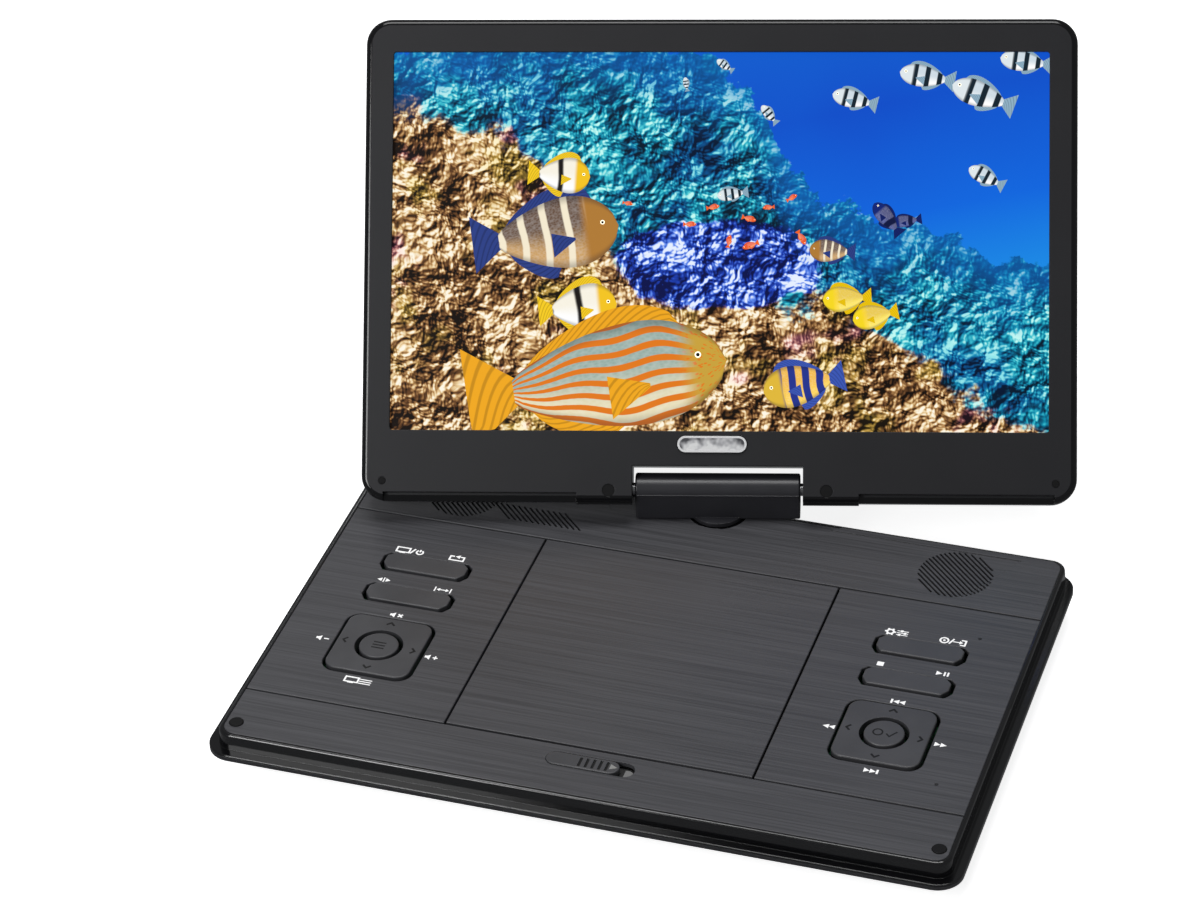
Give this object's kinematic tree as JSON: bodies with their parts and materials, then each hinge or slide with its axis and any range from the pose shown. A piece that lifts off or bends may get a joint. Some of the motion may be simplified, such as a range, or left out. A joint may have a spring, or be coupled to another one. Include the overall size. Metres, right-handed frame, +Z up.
{
  "type": "portable dvd player",
  "caption": "Portable disc player: flat base with a drive under a hinged door, four-way pads, rocker keys and speakers; a wide screen on a swivelling, tilting neck.",
  "frame": {"origin": "centre of the flat underside of the base; the rubber feet reach 2 mm below it", "axes": "+Z up, +X to the user's right, +Y to the back, where the neck stands; the screen is stored swivelled 14.75 degrees anticlockwise from above and leaned back 38.75 degrees from upright"},
  "size_m": [0.3708, 0.4059, 0.217],
  "materials": {
    "satin_black": "satin moulded plastic",
    "gloss_black": "polished black plastic",
    "brushed_charcoal": "fine brushed lines across",
    "key_charcoal": "satin",
    "bezel_black": "fine satin",
    "inner_plastic": "moulded",
    "steel": "drawn",
    "rubber": "matt",
    "nylon": "natural",
    "lens": "clear",
    "circuit_board": "solder mask",
    "battery_wrap": "shrink film",
    "lcd_metal": "silver-painted panel frame",
    "lit_screen": "lit display",
    "silver_badge": "polished"
  },
  "bodies": {
    "base": {"av_jack": "inner_plastic", "battery_pack": "battery_wrap", "bottom_cover": "satin_black", "card_slot": "steel", "case_screws": "steel", "corner_bumpers": "rubber", "damper_mounts": "rubber", "disc_tray": "inner_plastic", "door_hinge_pins": "steel", "drive_chassis": "steel", "feed_motor": "steel", "front_deck_plate": "brushed_charcoal", "guide_rods": "steel", "key_boards": "circuit_board", "latch_bed": "inner_plastic", "left_key_plate": "brushed_charcoal", "main_board": "circuit_board", "phone_jacks": "inner_plastic", "power_inlet": "inner_plastic", "power_switch_body": "inner_plastic", "rear_deck_plate": "brushed_charcoal", "right_key_plate": "brushed_charcoal", "rubber_feet": "rubber", "speakers": "inner_plastic", "spindle_motor": "steel", "status_windows": "inner_plastic", "swivel_bush": "nylon", "top_cover": "gloss_black", "usb_socket": "steel"},
    "disc_door": {"disc_door": "brushed_charcoal"},
    "latch": {"latch_slider": "key_charcoal"},
    "spindle": {"spindle_hub": "inner_plastic"},
    "sled": {"pickup_sled": "inner_plastic", "pickup_lens": "lens"},
    "lead_screw": {"lead_screw": "steel"},
    "power_knob": {"power_switch_knob": "satin_black"},
    "neck": {"swivel_shaft": "steel", "neck_shell": "satin_black", "neck_rear_cover": "satin_black", "tilt_shaft": "steel", "hinge_core": "steel"},
    "screen": {"tilt_brackets": "steel", "lid_bezel": "bezel_black", "lid_back_cover": "gloss_black", "lcd_panel": "lcd_metal", "screen_glass": "lit_screen", "driver_board": "circuit_board", "badge": "silver_badge", "screw_plugs": "rubber", "lid_bumpers": "rubber"},
    "left_rear_bar_key": {"left_rear_bar_key": "key_charcoal"},
    "left_front_bar_key": {"left_front_bar_key": "key_charcoal"},
    "left_pad_pivot": {"left_pad_pivot": "rubber"},
    "left_pad": {"left_pad": "key_charcoal"},
    "left_pad_button": {"left_pad_button": "key_charcoal"},
    "right_rear_bar_key": {"right_rear_bar_key": "key_charcoal"},
    "right_front_bar_key": {"right_front_bar_key": "key_charcoal"},
    "right_pad_pivot": {"right_pad_pivot": "rubber"},
    "right_pad": {"right_pad": "key_charcoal"},
    "right_pad_button": {"right_pad_button": "key_charcoal"}
  },
  "joints": [
    {"name": "screen_swivel", "type": "hinge", "parent": "base", "child": "neck", "pos_m": [0, 0.111, 0.03], "axis": [0, 0, 1], "range_deg": [-14.75, 165.25]},
    {"name": "screen_tilt", "type": "hinge", "parent": "neck", "child": "screen", "pos_m": [0, 0.111, 0.036], "axis": [0.967, 0.2546, 0], "range_deg": [-51.25, 128.75]},
    {"name": "door_hinge", "type": "hinge", "parent": "base", "child": "disc_door", "pos_m": [0, 0.0792, 0.018], "axis": [1, 0, 0], "range_deg": [-60, 0]},
    {"name": "latch_slide", "type": "slide", "parent": "base", "child": "latch", "axis": [1, 0, 0], "range_m": [0, 0.0066], "stiffness_N_per_m": 250, "springref_m": -0.002},
    {"name": "spindle_turn", "type": "hinge", "parent": "base", "child": "spindle", "pos_m": [0, -0.00455, 0.014], "axis": [0, 0, 1], "continuous": true},
    {"name": "lead_screw_turn", "type": "hinge", "parent": "base", "child": "lead_screw", "pos_m": [0.039, -0.04, 0.0076], "axis": [0, 1, 0], "range_deg": [0, 4080]},
    {"name": "sled_slide", "type": "slide", "parent": "base", "child": "sled", "axis": [0, -1, 0], "range_m": [0, 0.034]},
    {"name": "power_switch", "type": "slide", "parent": "base", "child": "power_knob", "axis": [1, 0, 0], "range_m": [0, 0.005]},
    {"name": "left_rear_bar_key_rock", "type": "hinge", "parent": "base", "child": "left_rear_bar_key", "pos_m": [-0.119, 0.0313, 0.0188], "axis": [0, 1, 0], "range_deg": [-1.6, 1.6], "stiffness_Nm_per_rad": 0.5},
    {"name": "left_front_bar_key_rock", "type": "hinge", "parent": "base", "child": "left_front_bar_key", "pos_m": [-0.119, 0.0071, 0.0188], "axis": [0, 1, 0], "range_deg": [-1.6, 1.6], "stiffness_Nm_per_rad": 0.5},
    {"name": "left_pad_left_right", "type": "hinge", "parent": "base", "child": "left_pad_pivot", "pos_m": [-0.119, -0.032, 0.019], "axis": [0, 1, 0], "range_deg": [-1.5, 1.5], "stiffness_Nm_per_rad": 0.5},
    {"name": "left_pad_up_down", "type": "hinge", "parent": "left_pad_pivot", "child": "left_pad", "pos_m": [-0.119, -0.032, 0.019], "axis": [1, 0, 0], "range_deg": [-1.5, 1.5], "stiffness_Nm_per_rad": 0.5},
    {"name": "left_pad_button_press", "type": "slide", "parent": "base", "child": "left_pad_button", "axis": [0, 0, -1], "range_m": [0, 0.0006], "stiffness_N_per_m": 1500, "springref_m": -0.0002},
    {"name": "right_rear_bar_key_rock", "type": "hinge", "parent": "base", "child": "right_rear_bar_key", "pos_m": [0.119, 0.0313, 0.0188], "axis": [0, 1, 0], "range_deg": [-1.6, 1.6], "stiffness_Nm_per_rad": 0.5},
    {"name": "right_front_bar_key_rock", "type": "hinge", "parent": "base", "child": "right_front_bar_key", "pos_m": [0.119, 0.0071, 0.0188], "axis": [0, 1, 0], "range_deg": [-1.6, 1.6], "stiffness_Nm_per_rad": 0.5},
    {"name": "right_pad_left_right", "type": "hinge", "parent": "base", "child": "right_pad_pivot", "pos_m": [0.119, -0.032, 0.019], "axis": [0, 1, 0], "range_deg": [-1.5, 1.5], "stiffness_Nm_per_rad": 0.5},
    {"name": "right_pad_up_down", "type": "hinge", "parent": "right_pad_pivot", "child": "right_pad", "pos_m": [0.119, -0.032, 0.019], "axis": [1, 0, 0], "range_deg": [-1.5, 1.5], "stiffness_Nm_per_rad": 0.5},
    {"name": "right_pad_button_press", "type": "slide", "parent": "base", "child": "right_pad_button", "axis": [0, 0, -1], "range_m": [0, 0.0006], "stiffness_N_per_m": 1500, "springref_m": -0.0002}
  ],
  "couplings": [
    {"joint": "lead_screw_turn", "follows": "sled_slide", "rad_per_m": 2094.4}
  ]
}
